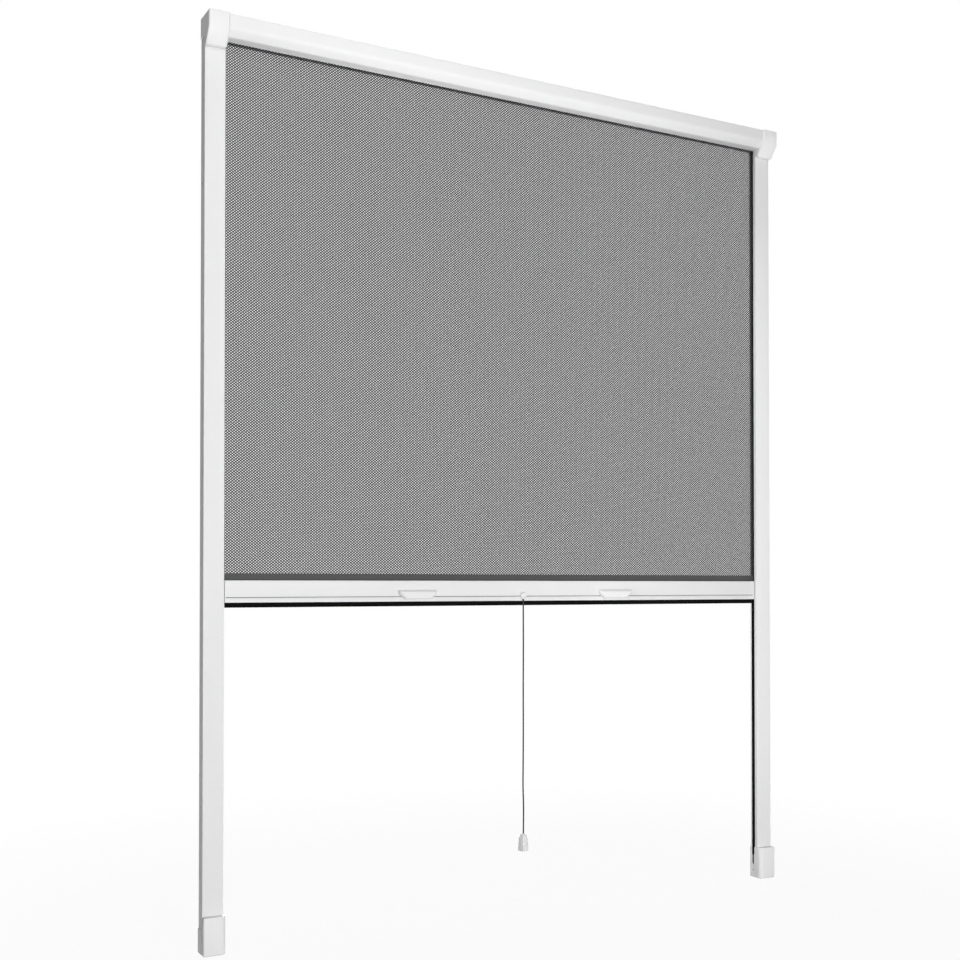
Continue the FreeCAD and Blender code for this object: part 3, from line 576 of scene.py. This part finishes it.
class Finish:
    """A material with a Principled shader and a method that adds nodes."""

    def __init__(self, name, colour, roughness, metallic=0.0):
        self.material = bpy.data.materials.new(name)
        self.material.use_nodes = True
        self.tree = self.material.node_tree
        self.shader = self.tree.nodes["Principled BSDF"]
        self.shader.inputs["Base Color"].default_value = (*colour, 1.0)
        self.shader.inputs["Roughness"].default_value = roughness
        self.shader.inputs["Metallic"].default_value = metallic

    def node(self, kind, settings, inputs, output=0):
        """Adds a node, sets its settings and sockets, and returns one of its outputs."""
        node = self.tree.nodes.new(kind)
        for key, value in settings.items():
            if key == "stops":
                for i, (place, grey) in enumerate(value):
                    stop = node.color_ramp.elements[i] if i < 2 else node.color_ramp.elements.new(place)
                    stop.position = place
                    stop.color = (grey, grey, grey, 1.0)
            else:
                setattr(node, key, value)
        for key, value in inputs.items():
            self.connect(node.inputs[key], value)
        return Value(self, node.outputs[output])

    def connect(self, socket, value):
        if isinstance(value, Value):
            self.tree.links.new(value.socket, socket)
        else:
            socket.default_value = value

    def place(self, stretch=(1.0, 1.0, 1.0)):
        """Object coordinates, stretched."""
        here = self.node("ShaderNodeTexCoord", {}, {}, "Object")
        return self.node("ShaderNodeMapping", {}, {"Vector": here, "Scale": stretch})

    def noise(self, scale, detail=2.0, stretch=(1.0, 1.0, 1.0)):
        """Noise from 0 to 1; scale is in blobs for each metre."""
        inputs = {"Vector": self.place(stretch), "Scale": scale, "Detail": detail}
        return self.node("ShaderNodeTexNoise", {}, inputs)

    def between(self, factor, first, second):
        """A colour between two colours."""
        node = self.tree.nodes.new("ShaderNodeMix")
        node.data_type = "RGBA"
        self.connect(node.inputs[0], factor)
        self.connect(node.inputs[6], (*first, 1.0) if isinstance(first, tuple) else first)
        self.connect(node.inputs[7], (*second, 1.0) if isinstance(second, tuple) else second)
        return Value(self, node.outputs[2])

    def colour(self, value):
        self.connect(self.shader.inputs["Base Color"], value)

    def rough(self, value):
        self.connect(self.shader.inputs["Roughness"], value)

    def bump(self, height, distance, strength=1.0):
        inputs = {"Height": height, "Distance": distance, "Strength": strength}
        self.connect(self.shader.inputs["Normal"], self.node("ShaderNodeBump", {}, inputs))


def paint(finish, *pieces):
    """Gives pieces one material."""
    for piece in pieces:
        if piece.material_slots:
            for slot in piece.material_slots:
                slot.material = finish.material
        else:
            piece.data.materials.append(finish.material)


# %% [markdown]
# Powder coat on the extrusions is baked paint: near white, satin, with a faint orange peel a
# millimetre or two across. The peel hardly shows as colour. It is a very shallow bump, and
# the gloss varies with it.

# %% Powder coat
WHITE = (0.87, 0.87, 0.87)
WHITE_DUSTY = (0.845, 0.845, 0.85)
powder_coat = Finish("white powder coat", WHITE, 0.42)
powder_coat.shader.inputs["Specular IOR Level"].default_value = 0.15
clouds = powder_coat.noise(6.0, 3.0)
peel = powder_coat.noise(650.0, 2.0)
powder_coat.colour(powder_coat.between(clouds, WHITE, WHITE_DUSTY))
powder_coat.rough(0.36 + peel * 0.12)
powder_coat.bump(peel, 0.03 * MM)
paint(powder_coat, *aluminium)

# %% [markdown]
# The bar has the same coat, but a narrow groove runs along its front. The inside of the groove
# is painted dark grey as painted shade, standing in for the shadow that falls into it. The
# groove is found by its place: just behind the front face, and between two heights.

# %% Powder coat of the bar
BAR_LOW, BAR_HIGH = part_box("bottom_bar")
GROOVE_BOTTOM = BAR_LOW.z + 8.4 * MM
GROOVE_TOP = BAR_LOW.z + 11.4 * MM
GROOVE_START = BAR_LOW.y + 0.3 * MM
GROOVE_END = BAR_LOW.y + 2.3 * MM
bar_coat = Finish("white powder coat of the bar", WHITE, 0.42)
bar_coat.shader.inputs["Specular IOR Level"].default_value = 0.15
bar_place = bar_coat.node("ShaderNodeTexCoord", {}, {}, "Object")
parts = bar_coat.tree.nodes.new("ShaderNodeSeparateXYZ")
bar_coat.connect(parts.inputs[0], bar_place)
back = Value(bar_coat, parts.outputs[1])
up = Value(bar_coat, parts.outputs[2])
groove_shade = (back > GROOVE_START) * (back < GROOVE_END) * (up > GROOVE_BOTTOM) * (up < GROOVE_TOP)
bar_clouds = bar_coat.noise(6.0, 3.0)
bar_peel = bar_coat.noise(650.0, 2.0)
bar_tone = bar_coat.between(bar_clouds, WHITE, WHITE_DUSTY)
# painted shade: the groove's inside is painted dark grey for the shadow in it
bar_coat.colour(bar_coat.between(groove_shade, bar_tone, (0.16, 0.16, 0.16)))
bar_coat.rough(0.36 + bar_peel * 0.12)
bar_coat.bump(bar_peel, 0.03 * MM)
paint(bar_coat, aluminium[-1])

# %% [markdown]
# The mouldings are white plastic, a little glossier than the paint beside them. Their surface
# is lightly spark-eroded, which is a finer and sharper grain than orange peel.

# %% White plastic
white_plastic = Finish("white moulded plastic", WHITE, 0.34)
white_plastic.shader.inputs["Specular IOR Level"].default_value = 0.2
grain = white_plastic.noise(2200.0, 3.0)
flow = white_plastic.noise(25.0, 2.0, (1.0, 1.0, 0.3))
white_plastic.colour(white_plastic.between(flow, (0.86, 0.86, 0.86), (0.88, 0.88, 0.875)))
white_plastic.rough(0.28 + grain * 0.14)
white_plastic.bump(grain, 0.012 * MM)
paint(white_plastic, *plastic)

# %% [markdown]
# Brush pile is black polypropylene. It is matt because light is lost between the bristles.

# %% Black pile
pile = Finish("black pile", (0.004, 0.004, 0.004), 0.9)
pile.shader.inputs["Specular IOR Level"].default_value = 0.08
fibre = pile.noise(1800.0, 2.0, (1.0, 0.2, 0.2))
pile.colour(pile.between(fibre, (0.002, 0.002, 0.002), (0.007, 0.007, 0.0075)))
paint(pile, *brushes)

# %% [markdown]
# The strands of the net are coated glass fibre, dark grey and slightly shiny, with the fine
# cross lines of the yarn inside the coating.

# %% Net yarn
yarn = Finish("grey net yarn", (0.03, 0.031, 0.033), 0.65)
thread = yarn.noise(1500.0, 2.0)
yarn.colour(yarn.between(thread, (0.018, 0.019, 0.02), (0.042, 0.043, 0.045)))
yarn.bump(thread, 0.05 * MM)
paint(yarn, *net_bands)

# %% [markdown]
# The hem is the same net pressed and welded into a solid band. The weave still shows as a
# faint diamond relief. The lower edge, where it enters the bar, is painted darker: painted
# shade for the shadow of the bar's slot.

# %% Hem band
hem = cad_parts["net_hem"]
band_finish = Finish("welded hem band", (0.05, 0.05, 0.051), 0.6)
position = band_finish.node("ShaderNodeTexCoord", {}, {}, "Object")
split = band_finish.tree.nodes.new("ShaderNodeSeparateXYZ")
band_finish.connect(split.inputs[0], position)
across = Value(band_finish, split.outputs[0])
height = Value(band_finish, split.outputs[2])


def ridge(finish, phase):
    """A wave from 0 to 1 over a phase counted in turns."""
    return finish.node("ShaderNodeMath", {"operation": "SINE"}, {0: phase * math.tau}) * 0.5 + 0.5


steps_across = across / (2 * COLUMN_PITCH)
steps_up = height / (2 * ROW_PITCH)
weave = ridge(band_finish, steps_across + steps_up) * ridge(band_finish, steps_across - steps_up)
mottle = band_finish.noise(420.0, 3.0)
slot_shade = height < HEM_HIGH.z - (HEM_HIGH.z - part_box("bottom_bar")[1].z) + 1.8 * MM
tone = band_finish.between(mottle * 0.6 + weave * 0.4, (0.03, 0.03, 0.031), (0.06, 0.06, 0.062))
# painted shade: the strip just above the bar is painted near black for the slot's shadow
band_finish.colour(band_finish.between(slot_shade, tone, (0.015, 0.015, 0.0155)))
band_finish.bump(weave, 0.15 * MM)
paint(band_finish, hem)

# %% [markdown]
# The cord's fibres run along each strand, so the grain is noise squeezed along the cord.

# %% Cord
cord_finish = Finish("dark cord", (0.03, 0.03, 0.032), 0.8)
fibres = cord_finish.noise(1600.0, 2.0, (1.0, 1.0, 0.25))
cord_finish.colour(cord_finish.between(fibres, (0.006, 0.006, 0.0065), (0.025, 0.025, 0.026)))
cord_finish.bump(fibres, 0.08 * MM)
paint(cord_finish, pull_cord)

# %% [markdown]
# The roller works out of sight, but the part comes apart, so its pieces get their own looks:
# a drawn aluminium tube, turns of net, grey plugs, a steel shaft and a coiled spring.

# %% Roller pieces
tube_finish = Finish("drawn aluminium", (0.62, 0.63, 0.64), 0.35, 1.0)
draw_lines = tube_finish.noise(900.0, 2.0, (0.02, 1.0, 1.0))
tube_finish.rough(0.25 + draw_lines * 0.2)
tube_finish.bump(draw_lines, 0.02 * MM)
paint(tube_finish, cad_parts["roller_tube"])

roll_finish = Finish("wound net", (0.07, 0.072, 0.075), 0.7)
turns = roll_finish.noise(700.0, 2.0, (0.3, 1.0, 1.0))
roll_finish.colour(roll_finish.between(turns, (0.03, 0.031, 0.033), (0.12, 0.122, 0.125)))
roll_finish.bump(turns, 0.3 * MM)
paint(roll_finish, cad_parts["net_roll"])

grey_plastic = Finish("grey plastic", (0.30, 0.31, 0.32), 0.45)
speck = grey_plastic.noise(1900.0, 2.0)
grey_plastic.colour(grey_plastic.between(speck, (0.27, 0.28, 0.29), (0.33, 0.34, 0.35)))
grey_plastic.bump(speck, 0.015 * MM)
paint(grey_plastic, *[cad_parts[n] for n in ("spring_end_plug", "idler_plug", "spring_carrier")])

steel = Finish("bright steel", (0.58, 0.57, 0.55), 0.3, 1.0)
scratches = steel.noise(1200.0, 2.0, (0.05, 1.0, 1.0))
steel.rough(0.22 + scratches * 0.2)
steel.bump(scratches, 0.01 * MM)
paint(steel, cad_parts["spring_shaft"])

# %% [markdown]
# The torsion spring is close-wound wire. One turn of its round section is spun about the
# roller's axis while it moves along by one pitch, and the Screw modifier repeats the turn.

# %% Torsion spring
SPRING_LOW, SPRING_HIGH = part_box("torsion_spring")
AXIS_Y = (SPRING_LOW.y + SPRING_HIGH.y) / 2
AXIS_Z = (SPRING_LOW.z + SPRING_HIGH.z) / 2
WIRE_RADIUS = 0.62 * MM
SPRING_RADIUS = (SPRING_HIGH.y - SPRING_LOW.y) / 2 - WIRE_RADIUS - 0.08 * MM
SPRING_TURNS = 200
spring_run = SPRING_HIGH.x - SPRING_LOW.x - 2 * WIRE_RADIUS
bpy.ops.object.select_all(action="DESELECT")
bpy.ops.mesh.primitive_circle_add(
    vertices=6,
    radius=WIRE_RADIUS,
    location=(SPRING_RADIUS, 0.0, 0.0),
    rotation=(math.pi / 2, 0.0, 0.0),
)
spring = bpy.context.object
bpy.ops.object.transform_apply(location=True, rotation=True, scale=True)
apply_modifier(
    spring,
    "SCREW",
    axis="Z",
    angle=math.tau,
    screw_offset=spring_run / SPRING_TURNS,
    iterations=SPRING_TURNS,
    steps=16,
    render_steps=16,
    use_normal_calculate=True,
)
bpy.ops.object.mode_set(mode="EDIT")
bpy.ops.mesh.select_all(action="SELECT")
bpy.ops.mesh.remove_doubles(threshold=MERGE)
bpy.ops.mesh.select_all(action="DESELECT")
bpy.ops.mesh.select_non_manifold()
bpy.ops.mesh.fill_holes(sides=6)
bpy.ops.mesh.select_all(action="SELECT")
bpy.ops.mesh.normals_make_consistent(inside=False)
bpy.ops.object.mode_set(mode="OBJECT")
spring.rotation_euler = (0.0, math.pi / 2, 0.0)
spring.location = (SPRING_LOW.x + WIRE_RADIUS, AXIS_Y, AXIS_Z)
settle(spring, "torsion_spring_coils", 60.0)
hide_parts("torsion_spring")
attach(spring, "frame")
paint(steel, spring)
print("spring has", len(spring.data.polygons), "faces")

# %% [markdown]
# The photograph is a cut-out on white. The floor is pale, and to the camera it fades to plain
# white away from the screen, so that no horizon crosses the picture, and it keeps the shadow
# near the feet. The world is white to the camera and in reflections, and a soft grey fill
# for everything else.

# %% Floor
FLOOR_SIZE = 30.0
bpy.ops.object.select_all(action="DESELECT")
bpy.ops.mesh.primitive_plane_add(size=FLOOR_SIZE, location=(0.0, 0.0, -0.5 * MM))
floor = bpy.context.object
floor.name = "floor"
floor_finish = Finish("pale floor", (0.60, 0.60, 0.60), 0.9)
spot = floor_finish.node("ShaderNodeTexCoord", {}, {}, "Object")
distance = floor_finish.node("ShaderNodeVectorMath", {"operation": "LENGTH"}, {0: spot}, "Value")
far = floor_finish.node(
    "ShaderNodeMapRange",
    {"interpolation_type": "SMOOTHSTEP"},
    {"Value": distance, "From Min": 0.6, "From Max": 1.8, "To Min": 0.93, "To Max": 1.0},
)
ray = floor_finish.node("ShaderNodeLightPath", {}, {}, "Is Camera Ray")
seen = ray
for kind in ("Is Glossy Ray", "Is Transmission Ray"):
    seen = seen.math("MAXIMUM", seen, Value(floor_finish, ray.socket.node.outputs[kind]))
white = floor_finish.node("ShaderNodeEmission", {}, {"Color": (1.0, 1.0, 1.0, 1.0), "Strength": 1.0})
mixed = floor_finish.node(
    "ShaderNodeMixShader",
    {},
    {0: seen * far, 1: Value(floor_finish, floor_finish.shader.outputs[0]), 2: white},
)
floor_finish.tree.links.new(mixed.socket, floor_finish.tree.nodes["Material Output"].inputs["Surface"])
paint(floor_finish, floor)

# %% World and lamps
FILL = 0.10
world = bpy.data.worlds.new("studio")
bpy.context.scene.world = world
world.use_nodes = True
nodes = world.node_tree.nodes
links = world.node_tree.links
background = nodes["Background"]
background.inputs["Color"].default_value = (1.0, 1.0, 1.0, 1.0)
paths = nodes.new("ShaderNodeLightPath")
shown = nodes.new("ShaderNodeMath")
shown.operation = "MAXIMUM"
links.new(paths.outputs["Is Camera Ray"], shown.inputs[0])
links.new(paths.outputs["Is Glossy Ray"], shown.inputs[1])
through = nodes.new("ShaderNodeMath")
through.operation = "MAXIMUM"
links.new(shown.outputs[0], through.inputs[0])
links.new(paths.outputs["Is Transmission Ray"], through.inputs[1])
strength = nodes.new("ShaderNodeMapRange")
strength.inputs["To Min"].default_value = FILL
strength.inputs["To Max"].default_value = 1.0
links.new(through.outputs[0], strength.inputs["Value"])
links.new(strength.outputs[0], background.inputs["Strength"])


def lamp(name, place, aim, size, watts, depth=None, spread=180.0):
    """A soft light aimed at a point, square or, with a depth, a strip; spread is in degrees."""
    turn = (Vector(aim) - Vector(place)).to_track_quat("-Z", "Y").to_euler()
    bpy.ops.object.light_add(type="AREA", location=place, rotation=turn)
    light = bpy.context.object
    light.name = name
    light.data.size = size
    if depth:
        light.data.shape = "RECTANGLE"
        light.data.size_y = depth
    light.data.spread = math.radians(spread)
    light.data.energy = watts
    return light


lamp("high", (-0.5, -1.2, 2.3), (-0.5, 0.0, 1.2), 0.5, 6.4)
lamp("left", (-1.2, -2.4, 0.3), (0.0, 0.0, 0.8), 1.0, 7.0)
lamp("high left", (-3.2, -0.6, 4.2), (-0.6, 0.0, 1.6), 1.2, 5.0)
lamp("front", (-0.6, -3.6, 0.3), (0.0, 0.0, 0.8), 1.0, 82.0)
lamp("low right", (2.0, -2.4, 0.2), (0.6, 0.0, 0.2), 1.0, 11.0)
lamp("inner", (-0.55, -0.35, 0.75), (0.6, 0.0, 0.75), 0.2, 0.5, 1.3, 30.0).visible_camera = False
lamp("strip", (0.0, -0.3, 0.02), (0.0, 0.0, 1.56), 1.1, 0.4, 0.12, 30.0).visible_camera = False
lamp("rear", (0.8, 4.2, 1.4), (0.0, 0.0, 0.9), 1.8, 110.0)
lamp("top", (0.0, 0.9, 4.0), (0.0, 0.1, 1.6), 1.4, 32.0)
